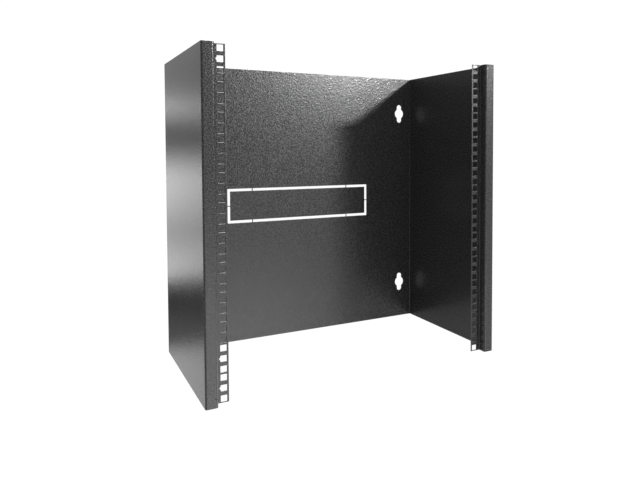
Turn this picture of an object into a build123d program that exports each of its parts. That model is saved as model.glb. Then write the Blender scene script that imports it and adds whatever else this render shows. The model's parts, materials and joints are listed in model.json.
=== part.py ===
from build123d import *
import os

# Open wall rack for twelve rack units of 19 inch equipment, folded from painted sheet steel.
# A flat back carries two side panels. The front edge of each side panel is folded inwards,
# then back, then inwards again, and that last fold is the mounting rail with its square holes.
# X runs to the right as seen from the front, Y runs back to the wall and Z runs up.
# The origin is under the middle of the rack, level with its lower edges.

# Driving dimensions in millimetres
sheet = 1.5                     # thickness of the steel
bend_radius = 1.5               # inside radius of every fold
rack_unit = 44.45
unit_count = 12
overall_depth = 300.0           # front faces to wall
clear_opening = 450.0           # between the two mounting rails
rail_width = 19.5               # rail edge to the face of its web
front_flange_width = 19.025     # face of the web to the outside of the side panel
rail_recess = 16.0              # front flange face to rail face

square_hole = 9.5
hole_inset = 7.55               # rail edge to hole centre
hole_pitch = 15.875             # between the three holes of one unit
nick_depth = 2.0                # notch that marks the middle hole of each unit
nick_height = 5.4

keyhole_diameter = 21.0
keyhole_slot_width = 11.0
keyhole_length = 39.0           # end to end, slots above and below the round hole
keyhole_side_inset = 30.0       # outside of the rack to keyhole centre
keyhole_end_inset = 77.5        # lower or upper edge to keyhole centre

knockout_width = 302.0          # outside of the cut line
knockout_height = 67.0
knockout_gap = 4.9              # width of the cut line
knockout_corner = 1.2
tab_width = 1.8                 # tabs that hold the plate until it is knocked out
tab_spacing = 204.0             # between the two tabs of a long edge

# Places that follow from them
height = unit_count * rack_unit
rail_edge_x = clear_opening / 2
web_face_x = rail_edge_x + rail_width
side_face_x = web_face_x + front_flange_width
front_face_y = -overall_depth / 2
wall_face_y = overall_depth / 2
rail_face_y = front_face_y + rail_recess
middle_z = height / 2

# Middle of the sheet, from which every fold is drawn
half_sheet = sheet / 2
fold_radius = bend_radius + half_sheet
side_x = side_face_x - half_sheet
web_x = web_face_x + half_sheet
front_y = front_face_y + half_sheet
back_y = wall_face_y - half_sheet
rail_y = rail_face_y + half_sheet

parts_folder = "parts"


def finish(piece, name):
    """Labels a finished piece and writes it to a file of the same name."""
    piece.part.label = name
    export_step(piece.part, os.path.join(parts_folder, name + ".step"))


def side_panel(hand):
    """Side wall with the fold into the back and the fold into the front flange."""
    with BuildPart() as panel:
        with BuildSketch():
            with BuildLine():
                rear_fold = JernArc((hand * (side_x - fold_radius), back_y), (hand, 0), fold_radius, -90 * hand)
                wall = Line(rear_fold @ 1, (hand * side_x, front_y + fold_radius))
                JernArc(wall @ 1, (0, -1), fold_radius, -90 * hand)
            trace(line_width=sheet)
        extrude(amount=height)
    return panel


def front_flange(hand):
    """Narrow front face beside the equipment, with the fold into the web."""
    with BuildPart() as flange:
        with BuildSketch():
            with BuildLine():
                face = Line((hand * (side_x - fold_radius), front_y), (hand * (web_x + fold_radius), front_y))
                JernArc(face @ 1, (-hand, 0), fold_radius, -90 * hand)
            trace(line_width=sheet)
        extrude(amount=height)
    return flange


def rail_web(hand):
    """Strip that runs back from the front flange, with the fold into the rail."""
    with BuildPart() as web:
        with BuildSketch():
            with BuildLine():
                face = Line((hand * web_x, front_y + fold_radius), (hand * web_x, rail_y - fold_radius))
                JernArc(face @ 1, (0, 1), fold_radius, 90 * hand)
            trace(line_width=sheet)
        extrude(amount=height)
    return web


def unit_holes(hand):
    """Three square holes of one rack unit, the middle one with a nick on its outer side."""
    nick_base = hand * square_hole / 2
    nick_tip = hand * (square_hole / 2 + nick_depth)
    with BuildSketch() as holes:
        with GridLocations(0, hole_pitch, 1, 3):
            Rectangle(square_hole, square_hole)
        with BuildLine():
            Polyline(
                (nick_base, -nick_height / 2),
                (nick_tip, 0),
                (nick_base, nick_height / 2),
                close=True,
            )
        make_face()
    return holes.sketch


def mounting_rail(hand):
    """Flat rail with one column of square holes, three to each rack unit."""
    fold_end_x = web_x - fold_radius
    with BuildPart() as rail:
        with BuildSketch(Plane.XZ.offset(-rail_face_y)):
            with Locations((hand * (rail_edge_x + fold_end_x) / 2, middle_z)):
                Rectangle(fold_end_x - rail_edge_x, height)
            with Locations((hand * (rail_edge_x + hole_inset), middle_z)):
                with GridLocations(0, rack_unit, 1, unit_count):
                    add(unit_holes(hand), mode=Mode.SUBTRACT)
        extrude(amount=-sheet)
    return rail


def keyhole():
    """Round hole with a slot above and below it, for hanging the rack either way up."""
    with BuildSketch() as hole:
        Circle(keyhole_diameter / 2)
        SlotOverall(keyhole_length, keyhole_slot_width, rotation=90)
    return hole.sketch


def back_panel():
    """Flat back with four keyholes and the opening that holds the knock-out plate."""
    keyhole_spacing_x = 2 * (side_face_x - keyhole_side_inset)
    keyhole_spacing_z = height - 2 * keyhole_end_inset
    with BuildPart() as panel:
        with BuildSketch(Plane.XZ.offset(-wall_face_y)):
            with Locations((0, middle_z)):
                Rectangle(2 * (side_x - fold_radius), height)
                RectangleRounded(knockout_width, knockout_height, knockout_corner, mode=Mode.SUBTRACT)
                with GridLocations(keyhole_spacing_x, keyhole_spacing_z, 2, 2):
                    add(keyhole(), mode=Mode.SUBTRACT)
        extrude(amount=sheet)
    return panel


def knockout_plate():
    """Plate of the cable entry, still held by two tabs on each long edge and one on each end."""
    with BuildPart() as plate:
        with BuildSketch(Plane.XZ.offset(-wall_face_y)):
            with Locations((0, middle_z)):
                Rectangle(knockout_width - 2 * knockout_gap, knockout_height - 2 * knockout_gap)
                Rectangle(knockout_width, tab_width)
                with GridLocations(tab_spacing, 0, 2, 1):
                    Rectangle(tab_width, knockout_height)
        extrude(amount=sheet)
    return plate


os.makedirs(parts_folder, exist_ok=True)

finish(back_panel(), "back_panel")
finish(knockout_plate(), "knockout_plate")
for side_name, side_hand in (("left", -1), ("right", 1)):
    finish(side_panel(side_hand), side_name + "_side_panel")
    finish(front_flange(side_hand), side_name + "_front_flange")
    finish(rail_web(side_hand), side_name + "_rail_web")
    finish(mounting_rail(side_hand), side_name + "_mounting_rail")
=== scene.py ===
import json
import math

import bmesh
import bpy
from bpy.props import FloatProperty, FloatVectorProperty, IntProperty, PointerProperty
from bpy.types import Operator, Panel, PropertyGroup
from mathutils import Matrix, Vector


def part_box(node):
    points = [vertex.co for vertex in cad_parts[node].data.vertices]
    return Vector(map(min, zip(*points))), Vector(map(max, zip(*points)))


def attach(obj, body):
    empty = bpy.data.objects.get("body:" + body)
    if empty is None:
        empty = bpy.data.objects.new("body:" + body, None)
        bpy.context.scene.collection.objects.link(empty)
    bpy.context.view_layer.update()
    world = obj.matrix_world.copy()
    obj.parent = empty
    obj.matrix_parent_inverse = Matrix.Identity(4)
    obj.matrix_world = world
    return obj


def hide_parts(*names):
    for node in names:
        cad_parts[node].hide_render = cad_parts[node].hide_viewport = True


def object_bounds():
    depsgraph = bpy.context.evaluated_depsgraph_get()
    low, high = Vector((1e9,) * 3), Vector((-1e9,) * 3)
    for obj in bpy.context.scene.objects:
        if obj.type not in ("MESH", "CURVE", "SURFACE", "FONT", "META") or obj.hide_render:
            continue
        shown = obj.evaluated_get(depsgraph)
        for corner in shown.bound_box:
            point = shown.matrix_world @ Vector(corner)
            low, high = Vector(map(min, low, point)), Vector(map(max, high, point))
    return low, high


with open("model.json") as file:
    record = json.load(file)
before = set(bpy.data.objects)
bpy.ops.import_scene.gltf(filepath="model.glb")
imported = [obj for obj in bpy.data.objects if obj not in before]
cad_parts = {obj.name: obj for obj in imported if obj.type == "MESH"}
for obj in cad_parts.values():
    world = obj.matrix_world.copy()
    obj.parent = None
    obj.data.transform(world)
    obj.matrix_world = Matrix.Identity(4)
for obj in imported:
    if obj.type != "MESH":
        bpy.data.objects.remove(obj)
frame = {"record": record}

bl_info = {
    "name": "Wall rack",
    "version": (1, 0, 0),
    "blender": (4, 5, 0),
    "location": "3D View > Sidebar > Wall rack",
    "description": "Powder-coated sheet steel wall rack with punched rails, keyholes and a cable entry",
    "category": "Object",
}

# Sizes that the frame gives, in metres
CAD_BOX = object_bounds()
SIDES = (("left", -1), ("right", 1))
PANEL_LOW, PANEL_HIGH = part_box("back_panel")
PLATE_LOW, PLATE_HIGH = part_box("knockout_plate")
WALL_LOW, WALL_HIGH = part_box("right_side_panel")
FLANGE_LOW, FLANGE_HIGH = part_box("right_front_flange")
WEB_LOW, WEB_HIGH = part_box("right_rail_web")
RAIL_LOW, RAIL_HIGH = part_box("right_mounting_rail")
HEIGHT = PANEL_HIGH.z - PANEL_LOW.z
SHEET = PANEL_HIGH.y - PANEL_LOW.y
FOLD_RADIUS = WALL_HIGH.x - WALL_LOW.x - SHEET / 2
KEYHOLES = next(m for m in frame["record"]["mounts"] if m["name"] == "right_keyholes")

MILLIMETRE = 0.001
TOUCH = 0.00001     # two points closer than this are one
QUARTER = math.pi / 2

# Straight steps in each arc
BEND_STEPS = 10
EDGE_STEPS = 3
CORNER_STEPS = 4
ROUND_STEPS = 16
SLOT_STEPS = 12

# A face belongs to a cut edge by how far its normal turns off the flat of the sheet
FLAT_TURN = 0.99
UPRIGHT_TURN = 0.1

# Grain of the coat. At a grazing view its relief sinks and its gloss evens out.
NOISE_RANGE = (0.4, 0.7)
CLUMP_SHARE = 0.7
EDGE_GRAIN = 0.3
GRAZING_RANGE = (0.3, 0.8)
GRAZING_RELIEF = 0.6
GRAZING_LOW = 0.8
GRAZING_HIGH = 1.1

WHITE = (1, 1, 1, 1)
FLOOR_COLOUR = (0.8, 0.8, 0.8, 1)
FLOOR_ROUGHNESS = 0.9
FLOOR_REACH = 20

# Camera at the photograph's viewing angle, in metres and degrees
CAMERA_PLACE = (-0.4613, -1.0507, 0.3824)
CAMERA_AZIMUTH = -30.2
CAMERA_ELEVATION = 2.34
CAMERA_SHIFT = (-0.1254, -0.1064)

# Brightness of the studio as the coat mirrors it, where 1 is white. Each pair is an angle in
# degrees and the level there, or the share of a level, with the two ends first. Azimuth 0 is the front and
# the right is positive. Front and back blend at the sides, and the left has levels of its own, which the
# left shares bring in. A colour ramp holds 0 to 1, so a level goes in as a part of the top level.
ELEVATION_SPAN = 180
AZIMUTH_SPAN = 360
SIDE_BLEND = 0.2
TOP_LEVEL = 30.0
FRONT_LEVELS = ((-90, 5.1), (90, 30.0), (-20, 5.1), (-16.5, 6.3), (-14, 5.3), (-12, 2.6), (-8, 0.85),
                (-4, 0.2), (4, 0.15), (45, 0.15), (58, 30.0))
BACK_LEVELS = ((-90, 0.6), (90, 30.0), (-17.3, 0.95), (-16.9, 0.12), (-15.3, 0.17), (-13.9, 0.05),
               (-12, 0.0), (-11.2, 1.4), (-10, 1.4), (-7.4, 0.86), (-5, 1.37), (-2.6, 1.68), (-1.2, 0.92),
               (0, 0.27), (1.4, 0.2), (2.4, 0.6), (3.5, 1.28), (4.4, 0.6), (5.5, 0.45), (7, 0.45),
               (9, 0.55), (45, 0.5), (58, 30.0))
LEFT_LEVELS = ((-90, 1.1), (90, 1.0), (-25, 1.0), (-8, 0.45), (6, 0.3), (25, 0.5), (50, 1.0))
LEVEL_SHARES = ((-180, 1.0), (180, 1.0), (-170.5, 1.0), (-168, 0.86), (-160, 0.6), (-150, 0.3),
                (-125, 0.12), (-25, 0.12), (-5, 0.6), (13, 0.61), (16, 0.77), (19, 0.95), (21.3, 1.0),
                (22.8, 0.0), (34, 0.03), (37, 0.1), (43, 0.1), (60, 0.8))
LEFT_SHARES = ((-180, 0.0), (180, 0.0), (-155, 0.0), (-135, 1.0), (-45, 1.0), (-25, 0.0))


class RackSizes(PropertyGroup):
    """Sizes of the holes and edges, which the boxes of the frame don't give"""

    edge_round: FloatProperty(
        name="Edge rounding", description="Radius of the coat over a cut edge",
        default=0.0006, min=0.0001, max=0.0006, unit="LENGTH")
    rack_units: IntProperty(
        name="Rack units", description="Number of rack units, with three holes each",
        default=12, min=1)
    hole_size: FloatProperty(
        name="Square hole", description="Width of a square hole in the rails",
        default=0.0095, unit="LENGTH")
    hole_corner: FloatProperty(
        name="Hole corner", description="Radius in the corners of a square hole",
        default=0.0005, unit="LENGTH")
    hole_inset: FloatProperty(
        name="Hole inset", description="From the edge of the rail to the middle of its holes",
        default=0.00755, unit="LENGTH")
    hole_pitch: FloatProperty(
        name="Hole pitch", description="Between the three holes of one unit",
        default=0.015875, unit="LENGTH")
    nick_depth: FloatProperty(
        name="Nick depth", description="Depth of the nick beside the middle hole of a unit",
        default=0.002, unit="LENGTH")
    nick_height: FloatProperty(
        name="Nick height", description="Height of that nick at its base",
        default=0.0054, unit="LENGTH")
    nick_round: FloatProperty(
        name="Nick rounding", description="Radius at the tip of the nick",
        default=0.0008, unit="LENGTH")
    keyhole_diameter: FloatProperty(
        name="Keyhole", description="Diameter of the round hole for the head of a screw",
        default=0.021, unit="LENGTH")
    opening_corner: FloatProperty(
        name="Cable entry corner", description="Radius in the corners of the cable entry",
        default=0.0012, unit="LENGTH")
    slit_width: FloatProperty(
        name="Slit", description="Width of the cut round the knock-out plate",
        default=0.0049, unit="LENGTH")
    tab_width: FloatProperty(
        name="Tab", description="Width of the tabs that hold the knock-out plate",
        default=0.0018, unit="LENGTH")
    tab_spacing: FloatProperty(
        name="Tab spacing", description="Between the two tabs of a long edge",
        default=0.204, unit="LENGTH")


class CoatFinish(PropertyGroup):
    """Colour and grain of the powder coat, with a painted sheen that lightens the highest grains"""

    low_colour: FloatVectorProperty(
        name="Low colour", description="Colour of the coat between its grains",
        subtype="COLOR", size=3, default=(0.02, 0.02, 0.0203), min=0, max=1)
    # Partly grain tone and partly painted sheen: the highest grains get this lighter colour
    grain_sheen_colour: FloatVectorProperty(
        name="High colour", description="Colour of the highest grains of the coat",
        subtype="COLOR", size=3, default=(0.025, 0.025, 0.0254), min=0, max=1)
    roughness: FloatProperty(
        name="Roughness", description="Roughness of the coat between its grains",
        subtype="FACTOR", default=0.2, min=0, max=1)
    grain_roughness: FloatProperty(
        name="Grain roughness", description="Roughness of the grains themselves",
        subtype="FACTOR", default=0.44, min=0, max=1)
    edge_roughness: FloatProperty(
        name="Edge roughness", description="Roughness where the coat runs thin over a cut edge",
        subtype="FACTOR", default=0.3, min=0, max=1)
    grain_size: FloatProperty(
        name="Grain size", description="Size of one grain of the coat",
        default=0.002, unit="LENGTH")
    clump_size: FloatProperty(
        name="Clump size", description="Size of the clumps in which the grains lie",
        default=0.0034, unit="LENGTH")
    grain_depth: FloatProperty(
        name="Grain depth", description="Height of the grains and clumps together",
        default=0.00012, unit="LENGTH")


class StudioLight(PropertyGroup):
    """Light and camera around the rack"""

    key_power: FloatProperty(
        name="Key power", description="Power of the soft lamp at the front right",
        default=77, min=0, unit="POWER")
    top_power: FloatProperty(
        name="Top power", description="Power of the soft lamp overhead",
        default=18, min=0, unit="POWER")
    ambient: FloatProperty(
        name="Ambient", description="Strength of the even light from all sides",
        default=0.42, min=0)
    backdrop: FloatProperty(
        name="Backdrop", description="Strength of the backdrop as seen, where 1 is white",
        default=1.04, min=0)
    floor_glow: FloatProperty(
        name="Floor glow", description="Share of the floor that is evenly white, so that its shadow is faint",
        subtype="FACTOR", default=0.96, min=0, max=1)
    lens: FloatProperty(
        name="Focal length", description="Focal length of the camera, in millimetres",
        default=34.67, min=1, unit="CAMERA")


def arc(centre, radius, start, turn, steps):
    """Points of an arc, both ends included, from the angle start through turn."""
    angles = [start + turn * step / steps for step in range(steps + 1)]
    return [(centre[0] + radius * math.cos(a), centre[1] + radius * math.sin(a)) for a in angles]


def rounded_outline(corners, radii):
    """Closed outline through the corners, each rounded by its radius."""
    points = []
    for index, (corner, radius) in enumerate(zip(corners, radii)):
        here = Vector(corner)
        back = (Vector(corners[index - 1]) - here).normalized()
        ahead = (Vector(corners[(index + 1) % len(corners)]) - here).normalized()
        if radius == 0:
            points.append(tuple(here))
            continue
        half_angle = back.angle(ahead) / 2
        centre = here + (back + ahead).normalized() * radius / math.sin(half_angle)
        reach = radius / math.tan(half_angle)
        first = here + back * reach - centre
        turn = first.angle_signed(here + ahead * reach - centre)
        points += arc(centre, radius, math.atan2(first.y, first.x), -turn, CORNER_STEPS)
    return points


def rectangle(width, height, radius=0):
    """Outline of a rectangle round the origin."""
    x, y = width / 2, height / 2
    return rounded_outline([(-x, -y), (x, -y), (x, y), (-x, y)], [radius] * 4)


def hole_outlines(sizes, hand):
    """The three square holes of a unit, the middle one with a nick on its outer side."""
    corner = sizes.hole_corner
    square = rectangle(sizes.hole_size, sizes.hole_size, corner)
    half, nick = sizes.hole_size / 2, sizes.nick_height / 2
    corners = [(-half, -half), (half, -half), (half, -nick), (half + sizes.nick_depth, 0),
               (half, nick), (half, half), (-half, half)]
    radii = [corner, corner, 0, sizes.nick_round, 0, corner, corner]
    nicked = [(hand * x, y) for x, y in rounded_outline(corners, radii)]
    lower = [(x, y - sizes.hole_pitch) for x, y in square]
    upper = [(x, y + sizes.hole_pitch) for x, y in square]
    return [lower, nicked, upper]


def keyhole_outline(sizes):
    """Round hole with a slot above and below it."""
    slot = KEYHOLES["dims"]["hole_r_mm"] * MILLIMETRE
    end = KEYHOLES["dims"]["slot_length_mm"] * MILLIMETRE / 2 - slot
    radius = sizes.keyhole_diameter / 2
    bulge = math.acos(slot / radius)
    points = arc((0, 0), radius, -bulge, 2 * bulge, ROUND_STEPS)
    points += arc((0, end), slot, 0, math.pi, SLOT_STEPS)
    points += arc((0, 0), radius, math.pi - bulge, 2 * bulge, ROUND_STEPS)
    points += arc((0, -end), slot, math.pi, math.pi, SLOT_STEPS)
    return points


def tabbed_outline(sizes, reach):
    """Knock-out plate with two tabs on each long edge and one on each end."""
    width = PLATE_HIGH.x - PLATE_LOW.x - 2 * sizes.slit_width
    height = PLATE_HIGH.z - PLATE_LOW.z - 2 * sizes.slit_width
    half_tab = sizes.tab_width / 2
    points = []
    for side in range(4):
        along, out = (width / 2, height / 2) if side % 2 == 0 else (height / 2, width / 2)
        places = (-sizes.tab_spacing / 2, sizes.tab_spacing / 2) if side % 2 == 0 else (0,)
        edge = [(-along, -out)]
        for place in places:
            edge += [(place - half_tab, -out), (place - half_tab, -out - reach),
                     (place + half_tab, -out - reach), (place + half_tab, -out)]
        turned = Matrix.Rotation(side * QUARTER, 2)
        points += [tuple(turned @ Vector(point)) for point in edge]
    return points


def add_object(name, data):
    """A new object in the scene, at the origin and unturned."""
    thing = bpy.data.objects.new(name, data)
    bpy.context.scene.collection.objects.link(thing)
    return thing


def draw_outlines(name, outlines):
    """Edge loops in a scratch object, which the sheet tree fills or punches."""
    vertices, edges = [], []
    for outline in outlines:
        first = len(vertices)
        count = len(outline)
        vertices += [(x, y, 0) for x, y in outline]
        edges += [(first + i, first + (i + 1) % count) for i in range(count)]
    mesh = bpy.data.meshes.new(name)
    mesh.from_pydata(vertices, edges, [])
    return add_object(name, mesh)


def sheet_tree():
    """Geometry nodes that fill an outline, punch rows and columns of a tool through it, and thicken it."""
    name = "punched sheet"
    if name in bpy.data.node_groups:
        return bpy.data.node_groups[name]
    tree = bpy.data.node_groups.new(name, "GeometryNodeTree")
    tree.is_modifier = True
    inputs = (
        ("Outline", "NodeSocketObject"), ("Tool", "NodeSocketObject"),
        ("Rows", "NodeSocketInt"), ("Row Pitch", "NodeSocketFloat"),
        ("Columns", "NodeSocketInt"), ("Column Pitch", "NodeSocketFloat"),
        ("Tool Offset", "NodeSocketFloat"), ("Thickness", "NodeSocketFloat"),
        ("Place", "NodeSocketVector"), ("Coat", "NodeSocketMaterial"),
    )
    for label, kind in inputs:
        tree.interface.new_socket(label, in_out="INPUT", socket_type=kind)
    tree.interface.new_socket("Sheet", in_out="OUTPUT", socket_type="NodeSocketGeometry")
    given = tree.nodes.new("NodeGroupInput")
    link = tree.links.new

    def node(kind, **settings):
        made = tree.nodes.new(kind)
        for key, value in settings.items():
            setattr(made, key, value)
        return made

    def curve_of(label):
        """The edge loops of a given object, as curves."""
        source = node("GeometryNodeObjectInfo", transform_space="ORIGINAL")
        link(given.outputs[label], source.inputs["Object"])
        curve = node("GeometryNodeMeshToCurve")
        link(source.outputs["Geometry"], curve.inputs["Mesh"])
        return curve.outputs["Curve"]

    def repeat(what, count, pitch, axis):
        """Copies in a row along an axis, centred on the origin."""
        span = node("ShaderNodeMath", operation="SUBTRACT")
        link(given.outputs[count], span.inputs[0])
        span.inputs[1].default_value = 1
        length = node("ShaderNodeMath", operation="MULTIPLY")
        link(span.outputs[0], length.inputs[0])
        link(given.outputs[pitch], length.inputs[1])
        start = node("ShaderNodeMath", operation="MULTIPLY")
        link(length.outputs[0], start.inputs[0])
        start.inputs[1].default_value = -0.5
        first, step = node("ShaderNodeCombineXYZ"), node("ShaderNodeCombineXYZ")
        link(start.outputs[0], first.inputs[axis])
        link(given.outputs[pitch], step.inputs[axis])
        line = node("GeometryNodeMeshLine", mode="OFFSET", count_mode="TOTAL")
        link(given.outputs[count], line.inputs["Count"])
        link(first.outputs[0], line.inputs["Start Location"])
        link(step.outputs[0], line.inputs["Offset"])
        copies = node("GeometryNodeInstanceOnPoints")
        link(line.outputs["Mesh"], copies.inputs["Points"])
        link(what, copies.inputs["Instance"])
        return copies.outputs["Instances"]

    holes = repeat(repeat(curve_of("Tool"), "Rows", "Row Pitch", "Y"), "Columns", "Column Pitch", "X")
    aside = node("ShaderNodeCombineXYZ")
    link(given.outputs["Tool Offset"], aside.inputs["X"])
    moved = node("GeometryNodeTransform")
    link(holes, moved.inputs["Geometry"])
    link(aside.outputs[0], moved.inputs["Translation"])
    real = node("GeometryNodeRealizeInstances")
    link(moved.outputs[0], real.inputs[0])
    lines = node("GeometryNodeJoinGeometry")
    link(curve_of("Outline"), lines.inputs[0])
    link(real.outputs[0], lines.inputs[0])
    face = node("GeometryNodeFillCurve", mode="NGONS")
    link(lines.outputs[0], face.inputs["Curve"])
    raised = node("GeometryNodeExtrudeMesh", mode="FACES")
    raised.inputs["Individual"].default_value = False
    link(face.outputs[0], raised.inputs["Mesh"])
    link(given.outputs["Thickness"], raised.inputs["Offset Scale"])
    under = node("GeometryNodeFlipFaces")
    link(face.outputs[0], under.inputs["Mesh"])
    both = node("GeometryNodeJoinGeometry")
    link(raised.outputs["Mesh"], both.inputs[0])
    link(under.outputs[0], both.inputs[0])
    closed = node("GeometryNodeMergeByDistance")
    closed.inputs["Distance"].default_value = TOUCH
    link(both.outputs[0], closed.inputs["Geometry"])
    upright = node("GeometryNodeTransform")
    upright.inputs["Rotation"].default_value = (QUARTER, 0, 0)
    link(closed.outputs[0], upright.inputs["Geometry"])
    link(given.outputs["Place"], upright.inputs["Translation"])
    whole = node("GeometryNodeRealizeInstances")
    link(upright.outputs[0], whole.inputs[0])
    coated = node("GeometryNodeSetMaterial")
    link(whole.outputs[0], coated.inputs["Geometry"])
    link(given.outputs["Coat"], coated.inputs["Material"])
    result = tree.nodes.new("NodeGroupOutput")
    link(coated.outputs[0], result.inputs[0])
    return tree


def plain_mesh(holder, name):
    """The evaluated shape of an object as a mesh of its own."""
    bpy.context.view_layer.update()
    shaped = holder.evaluated_get(bpy.context.evaluated_depsgraph_get())
    mesh = bpy.data.meshes.new_from_object(shaped)
    mesh.name = name
    return mesh


def discard(*scratch):
    """Removes scratch objects with their meshes."""
    for thing in scratch:
        mesh = thing.data
        bpy.data.objects.remove(thing)
        bpy.data.meshes.remove(mesh)


def mark_cut_edges(mesh, runs_on):
    """Gives a bevel weight to the cut edges, all but those where the metal runs on into another piece."""
    shape = bmesh.new()
    shape.from_mesh(mesh)
    weight = shape.edges.layers.float.new("bevel_weight_edge")
    for edge in shape.edges:
        middle = (edge.verts[0].co + edge.verts[1].co) / 2
        cut = edge.calc_face_angle(0) > QUARTER / 2
        across = abs(edge.verts[0].co.y - edge.verts[1].co.y) > TOUCH
        joined = cut and runs_on(middle)
        edge[weight] = float(cut and not across and not joined)
        edge.smooth = not joined
    shape.to_mesh(mesh)
    shape.free()


def punched_sheet(name, outlines, tools, pattern, place, runs_on):
    """A flat sheet made by the sheet tree, with rounded cut edges."""
    sizes = bpy.context.scene.rack_sizes
    outline = draw_outlines("outline", outlines)
    tool = draw_outlines("tool", tools)
    holder = draw_outlines("holder", [])
    modifier = holder.modifiers.new("sheet", "NODES")
    modifier.node_group = sheet_tree()
    values = {"Outline": outline, "Tool": tool, "Thickness": SHEET, "Place": place,
              "Coat": coat_material(), **pattern}
    for item in modifier.node_group.interface.items_tree:
        if item.in_out == "INPUT":
            modifier[item.identifier] = values[item.name]
    flat = plain_mesh(holder, name + " flat")
    holder.modifiers.remove(modifier)
    mark_cut_edges(flat, runs_on)
    blank = add_object("blank", flat)
    flat.shade_smooth()
    bevel = blank.modifiers.new("coat over the edges", "BEVEL")
    bevel.limit_method = "WEIGHT"
    bevel.width = sizes.edge_round
    bevel.segments = EDGE_STEPS
    bevel.use_clamp_overlap = False
    bevel.loop_slide = False
    bevel.harden_normals = True
    mesh = plain_mesh(blank, name)
    discard(outline, tool, holder, blank)
    return mesh


def fold_path(place, heading, moves):
    """Points and headings along the middle of a folded sheet. Each move is a run and then a turn."""
    here = Vector(place)
    path = [(here.copy(), heading)]
    for run, turn in moves:
        if run:
            here = here + run * Vector((math.cos(heading), math.sin(heading)))
            path.append((here.copy(), heading))
        side = math.copysign(1, turn)
        centre = here + side * FOLD_RADIUS * Vector((-math.sin(heading), math.cos(heading)))
        for step in range(1, BEND_STEPS + 1):
            angle = heading + turn * step / BEND_STEPS
            here = centre - side * FOLD_RADIUS * Vector((-math.sin(angle), math.cos(angle)))
            path.append((here.copy(), angle))
        heading += turn
    return path


def sheet_section(radius):
    """Points round the section of a sheet and the way each faces, across the sheet and upwards."""
    across, up = SHEET / 2 - radius, HEIGHT / 2 - radius
    middle = (PANEL_LOW.z + PANEL_HIGH.z) / 2
    section = []
    for corner, (x, y) in enumerate(((1, 1), (-1, 1), (-1, -1), (1, -1))):
        for step in range(EDGE_STEPS + 1):
            angle = (corner + step / EDGE_STEPS) * QUARTER
            facing = Vector((math.cos(angle), math.sin(angle)))
            section.append((Vector((x * across, middle + y * up)) + radius * facing, facing))
    return section


def folded_sheet(name, path, hand):
    """A sheet of full height that follows the path, with rounded upper and lower edges and plain ends."""
    section = sheet_section(bpy.context.scene.rack_sizes.edge_round)
    count = len(section)
    vertices, normals = [], []
    for here, heading in path:
        across = Vector((math.sin(heading), -math.cos(heading), 0))
        for point, facing in section:
            spot = Vector((here.x, here.y, 0)) + point.x * across + Vector((0, 0, point.y))
            normal = facing.x * across + Vector((0, 0, facing.y))
            vertices.append((hand * spot.x, spot.y, spot.z))
            normals.append((hand * normal.x, normal.y, normal.z))
    faces = []
    for station in range(len(path) - 1):
        for index in range(count):
            a = station * count + index
            b = station * count + (index + 1) % count
            faces.append((a, a + count, b + count, b))
    last = len(vertices) - count
    faces.append(tuple(range(count)))
    faces.append(tuple(last + index for index in reversed(range(count))))
    if hand < 0:
        faces = [tuple(reversed(face)) for face in faces]
    mesh = bpy.data.meshes.new(name)
    mesh.from_pydata(vertices, [], faces)
    mesh.shade_smooth()
    corners = [Vector(normals[loop.vertex_index]) for loop in mesh.loops]
    for end in mesh.polygons[-2:]:
        for loop in end.loop_indices:
            corners[loop] = end.normal.copy()
    mesh.normals_split_custom_set(corners)
    return mesh


def on_punched_edge(normal):
    """True for the edges and holes of a punched sheet, whose flats face the front and the back."""
    return abs(normal.y) < FLAT_TURN


def on_folded_edge(normal):
    """True for the upper and lower edges of a folded sheet, whose flats are upright."""
    return abs(normal.z) > UPRIGHT_TURN


def add_piece(node, mesh, on_edge):
    """Coats a finished mesh, its flats and its cut edges, and puts it in place of a node of the frame."""
    mesh.materials.clear()
    mesh.materials.append(coat_material())
    mesh.materials.append(edge_material())
    for face in mesh.polygons:
        face.material_index = int(on_edge(face.normal))
    piece = add_object(mesh.name, mesh)
    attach(piece, "root")
    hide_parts(node)


def shader_group(name, inputs, outputs):
    """A new shader node group with its sockets, and its input and output nodes."""
    group = bpy.data.node_groups.new(name, "ShaderNodeTree")
    for label, kind in inputs:
        group.interface.new_socket(label, in_out="INPUT", socket_type=kind)
    for label, kind in outputs:
        group.interface.new_socket(label, in_out="OUTPUT", socket_type=kind)
    return group, group.nodes.new("NodeGroupInput"), group.nodes.new("NodeGroupOutput")


def grain_group():
    """Grains of a textured coat, and the height of the grains and the clumps in which they lie."""
    name = "coat grain"
    if name in bpy.data.node_groups:
        return bpy.data.node_groups[name]
    group, given, result = shader_group(
        name,
        (("Vector", "NodeSocketVector"),
         ("Grain Size", "NodeSocketFloat"), ("Clump Size", "NodeSocketFloat")),
        (("Height", "NodeSocketFloat"), ("Grains", "NodeSocketFloat")))
    link = group.links.new

    def noise(size, detail):
        """Soft spots of one of the given sizes."""
        scale = group.nodes.new("ShaderNodeMath")
        scale.operation = "DIVIDE"
        scale.inputs[0].default_value = 1
        link(given.outputs[size], scale.inputs[1])
        texture = group.nodes.new("ShaderNodeTexNoise")
        texture.inputs["Detail"].default_value = detail
        link(given.outputs["Vector"], texture.inputs["Vector"])
        link(scale.outputs[0], texture.inputs["Scale"])
        spread = group.nodes.new("ShaderNodeMapRange")
        spread.interpolation_type = "SMOOTHSTEP"
        spread.inputs["From Min"].default_value, spread.inputs["From Max"].default_value = NOISE_RANGE
        link(texture.outputs[0], spread.inputs["Value"])
        return spread.outputs["Result"]

    grains = noise("Grain Size", 1)
    clumps = noise("Clump Size", 2)
    height = group.nodes.new("ShaderNodeMix")
    height.inputs["Factor"].default_value = CLUMP_SHARE
    link(grains, height.inputs["A"])
    link(clumps, height.inputs["B"])
    link(height.outputs["Result"], result.inputs["Height"])
    link(grains, result.inputs["Grains"])
    return group


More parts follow.
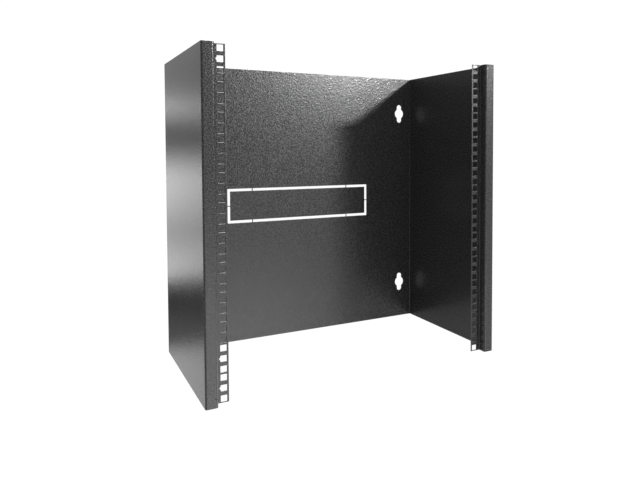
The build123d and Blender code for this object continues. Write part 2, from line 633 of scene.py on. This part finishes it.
def coated_surface(name, roughness, grain_roughness, grain_share):
    """Black powder coat. The grain share is how much of the grain's depth shows."""
    if name in bpy.data.materials:
        return bpy.data.materials[name]
    finish = bpy.context.scene.coat_finish
    material = bpy.data.materials.new(name)
    material.use_nodes = True
    nodes, link = material.node_tree.nodes, material.node_tree.links.new
    surface = nodes["Principled BSDF"]
    place = nodes.new("ShaderNodeTexCoord")
    grain = nodes.new("ShaderNodeGroup")
    grain.node_tree = grain_group()
    grain.inputs["Grain Size"].default_value = finish.grain_size
    grain.inputs["Clump Size"].default_value = finish.clump_size
    link(place.outputs["Object"], grain.inputs["Vector"])
    glance = nodes.new("ShaderNodeLayerWeight")
    glance.inputs["Blend"].default_value = 0.5

    def by_view(facing, grazing):
        """A value that changes as the surface turns away from the view."""
        made = nodes.new("ShaderNodeMapRange")
        made.inputs["From Min"].default_value, made.inputs["From Max"].default_value = GRAZING_RANGE
        made.inputs["To Min"].default_value = facing
        made.inputs["To Max"].default_value = grazing
        link(glance.outputs["Facing"], made.inputs["Value"])
        return made.outputs["Result"]

    relief = nodes.new("ShaderNodeBump")
    relief.inputs["Distance"].default_value = finish.grain_depth * grain_share
    link(by_view(1, GRAZING_RELIEF), relief.inputs["Strength"])
    link(grain.outputs["Height"], relief.inputs["Height"])
    link(relief.outputs["Normal"], surface.inputs["Normal"])
    # Painted sheen: the base colour lightens towards the top of each grain and clump, partly grain tone and
    # partly standing in for the coat's sheen
    sheen_tone = nodes.new("ShaderNodeMix")
    sheen_tone.data_type = "RGBA"
    sheen_tone.inputs["A"].default_value = (*finish.low_colour, 1)
    sheen_tone.inputs["B"].default_value = (*finish.grain_sheen_colour, 1)
    link(grain.outputs["Height"], sheen_tone.inputs["Factor"])
    link(sheen_tone.outputs["Result"], surface.inputs["Base Color"])
    gloss = nodes.new("ShaderNodeMapRange")
    link(grain.outputs["Grains"], gloss.inputs["Value"])
    link(by_view(roughness, GRAZING_LOW * roughness), gloss.inputs["To Min"])
    link(by_view(grain_roughness, GRAZING_HIGH * roughness), gloss.inputs["To Max"])
    link(gloss.outputs["Result"], surface.inputs["Roughness"])
    return material


def coat_material():
    """Coat on the flat of the sheet."""
    finish = bpy.context.scene.coat_finish
    return coated_surface("powder coat", finish.roughness, finish.grain_roughness, grain_share=1.0)


def edge_material():
    """Coat on the cut edges, where it runs thin and smooth."""
    finish = bpy.context.scene.coat_finish
    return coated_surface("powder coat on cut edges", finish.edge_roughness, finish.edge_roughness,
                          grain_share=EDGE_GRAIN)


class WALLRACK_OT_back_panel(Operator):
    """Make the back panel with its keyholes and the opening of the cable entry"""

    bl_idname = "wall_rack.back_panel"
    bl_label = "Back panel"

    def execute(self, context):
        sizes = context.scene.rack_sizes
        outer = rectangle(PANEL_HIGH.x - PANEL_LOW.x, HEIGHT)
        entry = rectangle(PLATE_HIGH.x - PLATE_LOW.x, PLATE_HIGH.z - PLATE_LOW.z, sizes.opening_corner)
        pattern = {
            "Rows": KEYHOLES["dims"]["count"],
            "Row Pitch": KEYHOLES["dims"]["spacing_y_mm"] * MILLIMETRE,
            "Columns": 2,
            "Column Pitch": 2 * KEYHOLES["pos_m"][0],
            "Tool Offset": 0.0,
        }
        place = (0, PANEL_HIGH.y, (PANEL_LOW.z + PANEL_HIGH.z) / 2)
        mesh = punched_sheet("coated_back_panel", [outer, entry], [keyhole_outline(sizes)], pattern, place,
                             lambda spot: abs(spot.x) > PANEL_HIGH.x - TOUCH)
        add_piece("back_panel", mesh, on_punched_edge)
        return {"FINISHED"}


class WALLRACK_OT_knockout_plate(Operator):
    """Make the plate of the cable entry with the tabs that still hold it"""

    bl_idname = "wall_rack.knockout_plate"
    bl_label = "Knock-out plate"

    def execute(self, context):
        sizes = context.scene.rack_sizes
        outline = tabbed_outline(sizes, reach=sizes.slit_width + sizes.edge_round)
        pattern = {"Rows": 0, "Row Pitch": 0.0, "Columns": 0, "Column Pitch": 0.0, "Tool Offset": 0.0}
        middle = (PLATE_LOW.z + PLATE_HIGH.z) / 2
        half_height = PLATE_HIGH.z - middle
        place = (0, PLATE_HIGH.y, middle)
        mesh = punched_sheet("coated_knockout_plate", [outline], [], pattern, place,
                             lambda spot: abs(spot.x) > PLATE_HIGH.x or abs(spot.z - middle) > half_height)
        add_piece("knockout_plate", mesh, on_punched_edge)
        return {"FINISHED"}


class WALLRACK_OT_mounting_rails(Operator):
    """Make both mounting rails with their square holes, three to a unit"""

    bl_idname = "wall_rack.mounting_rails"
    bl_label = "Mounting rails"

    def execute(self, context):
        sizes = context.scene.rack_sizes
        width = RAIL_HIGH.x - RAIL_LOW.x
        for side, hand in SIDES:
            pattern = {
                "Rows": sizes.rack_units,
                "Row Pitch": HEIGHT / sizes.rack_units,
                "Columns": 1,
                "Column Pitch": 0.0,
                "Tool Offset": hand * (sizes.hole_inset - width / 2),
            }
            place = (hand * (RAIL_LOW.x + RAIL_HIGH.x) / 2, RAIL_HIGH.y, (RAIL_LOW.z + RAIL_HIGH.z) / 2)
            mesh = punched_sheet(f"coated_{side}_mounting_rail", [rectangle(width, HEIGHT)],
                                 hole_outlines(sizes, hand), pattern, place,
                                 lambda spot: abs(spot.x) > RAIL_HIGH.x - TOUCH)
            add_piece(f"{side}_mounting_rail", mesh, on_punched_edge)
        return {"FINISHED"}


class WALLRACK_OT_side_panels(Operator):
    """Make both side panels with their folds into the back and into the front flange"""

    bl_idname = "wall_rack.side_panels"
    bl_label = "Side panels"

    def execute(self, context):
        run = WALL_HIGH.y - WALL_LOW.y - 2 * (FOLD_RADIUS + SHEET / 2)
        for side, hand in SIDES:
            start = (WALL_LOW.x, WALL_HIGH.y - SHEET / 2)
            path = fold_path(start, 0, [(0, -QUARTER), (run, -QUARTER)])
            mesh = folded_sheet(f"coated_{side}_side_panel", path, hand)
            add_piece(f"{side}_side_panel", mesh, on_folded_edge)
        return {"FINISHED"}


class WALLRACK_OT_front_flanges(Operator):
    """Make both front flanges with their folds into the webs"""

    bl_idname = "wall_rack.front_flanges"
    bl_label = "Front flanges"

    def execute(self, context):
        run = FLANGE_HIGH.x - FLANGE_LOW.x - FOLD_RADIUS - SHEET / 2
        for side, hand in SIDES:
            start = (FLANGE_HIGH.x, FLANGE_LOW.y + SHEET / 2)
            path = fold_path(start, math.pi, [(run, -QUARTER)])
            mesh = folded_sheet(f"coated_{side}_front_flange", path, hand)
            add_piece(f"{side}_front_flange", mesh, on_folded_edge)
        return {"FINISHED"}


class WALLRACK_OT_rail_webs(Operator):
    """Make both webs with their folds into the mounting rails"""

    bl_idname = "wall_rack.rail_webs"
    bl_label = "Rail webs"

    def execute(self, context):
        run = WEB_HIGH.y - WEB_LOW.y - FOLD_RADIUS - SHEET / 2
        for side, hand in SIDES:
            start = (WEB_HIGH.x - SHEET / 2, WEB_LOW.y)
            path = fold_path(start, QUARTER, [(run, QUARTER)])
            mesh = folded_sheet(f"coated_{side}_rail_web", path, hand)
            add_piece(f"{side}_rail_web", mesh, on_folded_edge)
        return {"FINISHED"}


def backdrop_factor(nodes, link):
    """1 for rays from the camera and from glossy or clear surfaces, and 0 for all others."""
    rays = nodes.new("ShaderNodeLightPath")
    seen = rays.outputs["Is Camera Ray"]
    for kind in ("Is Glossy Ray", "Is Transmission Ray"):
        either = nodes.new("ShaderNodeMath")
        either.operation = "MAXIMUM"
        link(seen, either.inputs[0])
        link(rays.outputs[kind], either.inputs[1])
        seen = either.outputs[0]
    return seen


def reflection_group():
    """Brightness of the studio as the coat mirrors it, by direction: pale screens with darker gaps."""
    name = "studio reflection"
    if name in bpy.data.node_groups:
        return bpy.data.node_groups[name]
    group, given, result = shader_group(
        name, (("Direction", "NodeSocketVector"),), (("Level", "NodeSocketFloat"),))
    link = group.links.new
    axes = group.nodes.new("ShaderNodeSeparateXYZ")
    link(given.outputs[0], axes.inputs[0])

    def math_node(operation, first, second=None):
        made = group.nodes.new("ShaderNodeMath")
        made.operation = operation
        for socket, value in zip(made.inputs, (first, second)):
            if isinstance(value, float):
                socket.default_value = value
            elif value is not None:
                link(value, socket)
        return made.outputs[0]

    def spread(value, low, high):
        made = group.nodes.new("ShaderNodeMapRange")
        made.inputs["From Min"].default_value = low
        made.inputs["From Max"].default_value = high
        link(value, made.inputs["Value"])
        return made.outputs["Result"]

    def ramp(value, stops, span, top=1):
        """The stops as a colour ramp over a span of degrees, each level as a part of the top one."""
        made = group.nodes.new("ShaderNodeValToRGB")
        marks = made.color_ramp.elements
        for index, (angle, level) in enumerate(stops):
            place = 0.5 + angle / span
            mark = marks[index] if index < 2 else marks.new(place)
            mark.position = place
            mark.color = (level / top, level / top, level / top, 1)
        link(value, made.inputs[0])
        return made.outputs["Color"]

    elevation = spread(math_node("ARCSINE", axes.outputs["Z"]), -QUARTER, QUARTER)
    forward = math_node("MULTIPLY", axes.outputs["Y"], -1.0)
    azimuth = spread(math_node("ARCTAN2", axes.outputs["X"], forward), -math.pi, math.pi)
    sides = group.nodes.new("ShaderNodeMix")
    link(spread(axes.outputs["Y"], -SIDE_BLEND, SIDE_BLEND), sides.inputs["Factor"])
    link(ramp(elevation, FRONT_LEVELS, ELEVATION_SPAN, TOP_LEVEL), sides.inputs["A"])
    link(ramp(elevation, BACK_LEVELS, ELEVATION_SPAN, TOP_LEVEL), sides.inputs["B"])
    share = ramp(azimuth, LEVEL_SHARES, AZIMUTH_SPAN)
    level = group.nodes.new("ShaderNodeMix")
    link(ramp(azimuth, LEFT_SHARES, AZIMUTH_SPAN), level.inputs["Factor"])
    link(math_node("MULTIPLY", sides.outputs["Result"], share), level.inputs["A"])
    link(ramp(elevation, LEFT_LEVELS, ELEVATION_SPAN, TOP_LEVEL), level.inputs["B"])
    link(math_node("MULTIPLY", level.outputs["Result"], TOP_LEVEL), result.inputs["Level"])
    return group


def make_world(light):
    """Even light, a white backdrop where it is seen, and the studio's screens where it is mirrored."""
    world = bpy.data.worlds.new("studio")
    bpy.context.scene.world = world
    world.use_nodes = True
    world.cycles.sampling_method = "NONE"
    nodes, link = world.node_tree.nodes, world.node_tree.links.new
    even = nodes["Background"]
    even.inputs["Color"].default_value = WHITE
    even.inputs["Strength"].default_value = light.ambient
    direction = nodes.new("ShaderNodeTexCoord")
    screens = nodes.new("ShaderNodeGroup")
    screens.node_tree = reflection_group()
    link(direction.outputs["Generated"], screens.inputs["Direction"])
    rays = nodes.new("ShaderNodeLightPath")
    level = nodes.new("ShaderNodeMix")
    level.inputs["A"].default_value = light.backdrop
    link(rays.outputs["Is Glossy Ray"], level.inputs["Factor"])
    link(screens.outputs["Level"], level.inputs["B"])
    backdrop = nodes.new("ShaderNodeBackground")
    backdrop.inputs["Color"].default_value = WHITE
    link(level.outputs["Result"], backdrop.inputs["Strength"])
    choice = nodes.new("ShaderNodeMixShader")
    link(backdrop_factor(nodes, link), choice.inputs[0])
    link(even.outputs[0], choice.inputs[1])
    link(backdrop.outputs[0], choice.inputs[2])
    link(choice.outputs[0], nodes["World Output"].inputs["Surface"])


def make_floor(light):
    """Pale floor under the rack, nearly white where it is seen, with a soft shadow."""
    mesh = bpy.data.meshes.new("studio_floor")
    low, high, level = -FLOOR_REACH, FLOOR_REACH, CAD_BOX[0].z
    corners = [(low, low, level), (high, low, level), (high, high, level), (low, high, level)]
    mesh.from_pydata(corners, [], [(0, 1, 2, 3)])
    floor = add_object("studio_floor", mesh)
    material = bpy.data.materials.new("studio floor")
    material.use_nodes = True
    nodes, link = material.node_tree.nodes, material.node_tree.links.new
    surface = nodes["Principled BSDF"]
    surface.inputs["Base Color"].default_value = FLOOR_COLOUR
    surface.inputs["Roughness"].default_value = FLOOR_ROUGHNESS
    surface.inputs["Specular IOR Level"].default_value = 0
    glow = nodes.new("ShaderNodeEmission")
    glow.inputs["Strength"].default_value = light.backdrop
    share = nodes.new("ShaderNodeMath")
    share.operation = "MULTIPLY"
    share.inputs[1].default_value = light.floor_glow
    link(backdrop_factor(nodes, link), share.inputs[0])
    mix = nodes.new("ShaderNodeMixShader")
    link(share.outputs[0], mix.inputs[0])
    link(surface.outputs[0], mix.inputs[1])
    link(glow.outputs[0], mix.inputs[2])
    link(mix.outputs[0], nodes["Material Output"].inputs["Surface"])
    mesh.materials.append(material)
    floor.visible_glossy = False


def bearing(azimuth, elevation):
    """Direction from the rack at an azimuth and an elevation in degrees. Azimuth 0 is the front."""
    a, e = math.radians(azimuth), math.radians(elevation)
    return Vector((math.sin(a) * math.cos(e), -math.cos(a) * math.cos(e), math.sin(e)))


def add_lamp(name, target, azimuth, elevation, distance, width, height, power):
    """Soft rectangular lamp that looks at the target."""
    data = bpy.data.lights.new(name, "AREA")
    data.shape = "RECTANGLE"
    data.size = width
    data.size_y = height
    data.energy = power
    lamp = add_object(name, data)
    towards = bearing(azimuth, elevation)
    lamp.location = Vector(target) + towards * distance
    lamp.rotation_euler = towards.to_track_quat("Z", "Y").to_euler()


def add_camera(light):
    """Camera at the front left, a little above the middle of the rack."""
    data = bpy.data.cameras.new("camera")
    data.sensor_width = 36
    data.lens = light.lens
    data.shift_x, data.shift_y = CAMERA_SHIFT
    camera = add_object("camera", data)
    camera.location = CAMERA_PLACE
    towards = bearing(CAMERA_AZIMUTH, CAMERA_ELEVATION)
    camera.rotation_euler = towards.to_track_quat("Z", "Y").to_euler()
    bpy.context.scene.camera = camera


class WALLRACK_OT_stage(Operator):
    """Make the floor, the lamps, the backdrop and the camera"""

    bl_idname = "wall_rack.stage"
    bl_label = "Stage"

    def execute(self, context):
        light = context.scene.studio_light
        context.scene.view_settings.view_transform = "Standard"
        make_world(light)
        make_floor(light)
        rail_top = (RAIL_LOW.x, RAIL_LOW.y, RAIL_HIGH.z)
        add_lamp("key_lamp", rail_top, azimuth=27.8, elevation=17.1, distance=2.2,
                 width=0.3, height=0.08, power=light.key_power)
        add_lamp("top_lamp", rail_top, azimuth=-20, elevation=75, distance=1.6,
                 width=1.2, height=1.2, power=light.top_power)
        add_camera(light)
        return {"FINISHED"}


class WALLRACK_PT_panel(Panel):
    """Makes the pieces of the wall rack"""

    bl_idname = "WALLRACK_PT_panel"
    bl_label = "Wall rack"
    bl_space_type = "VIEW_3D"
    bl_region_type = "UI"
    bl_category = "Wall rack"

    def draw(self, context):
        for operator in OPERATORS:
            self.layout.operator(operator.bl_idname)
        for settings in (context.scene.rack_sizes, context.scene.coat_finish, context.scene.studio_light):
            box = self.layout.box()
            for label in settings.bl_rna.properties.keys():
                if label not in ("rna_type", "name"):
                    box.prop(settings, label)


OPERATORS = (
    WALLRACK_OT_back_panel,
    WALLRACK_OT_knockout_plate,
    WALLRACK_OT_side_panels,
    WALLRACK_OT_front_flanges,
    WALLRACK_OT_rail_webs,
    WALLRACK_OT_mounting_rails,
    WALLRACK_OT_stage,
)
CLASSES = (RackSizes, CoatFinish, StudioLight, *OPERATORS, WALLRACK_PT_panel)


def register():
    for item in CLASSES:
        bpy.utils.register_class(item)
    bpy.types.Scene.rack_sizes = PointerProperty(type=RackSizes)
    bpy.types.Scene.coat_finish = PointerProperty(type=CoatFinish)
    bpy.types.Scene.studio_light = PointerProperty(type=StudioLight)


def unregister():
    del bpy.types.Scene.studio_light
    del bpy.types.Scene.coat_finish
    del bpy.types.Scene.rack_sizes
    for item in reversed(CLASSES):
        bpy.utils.unregister_class(item)


def main():
    register()
    bpy.ops.wall_rack.back_panel()
    bpy.ops.wall_rack.knockout_plate()
    bpy.ops.wall_rack.side_panels()
    bpy.ops.wall_rack.front_flanges()
    bpy.ops.wall_rack.rail_webs()
    bpy.ops.wall_rack.mounting_rails()
    bpy.ops.wall_rack.stage()


if __name__ == "__main__":
    main()
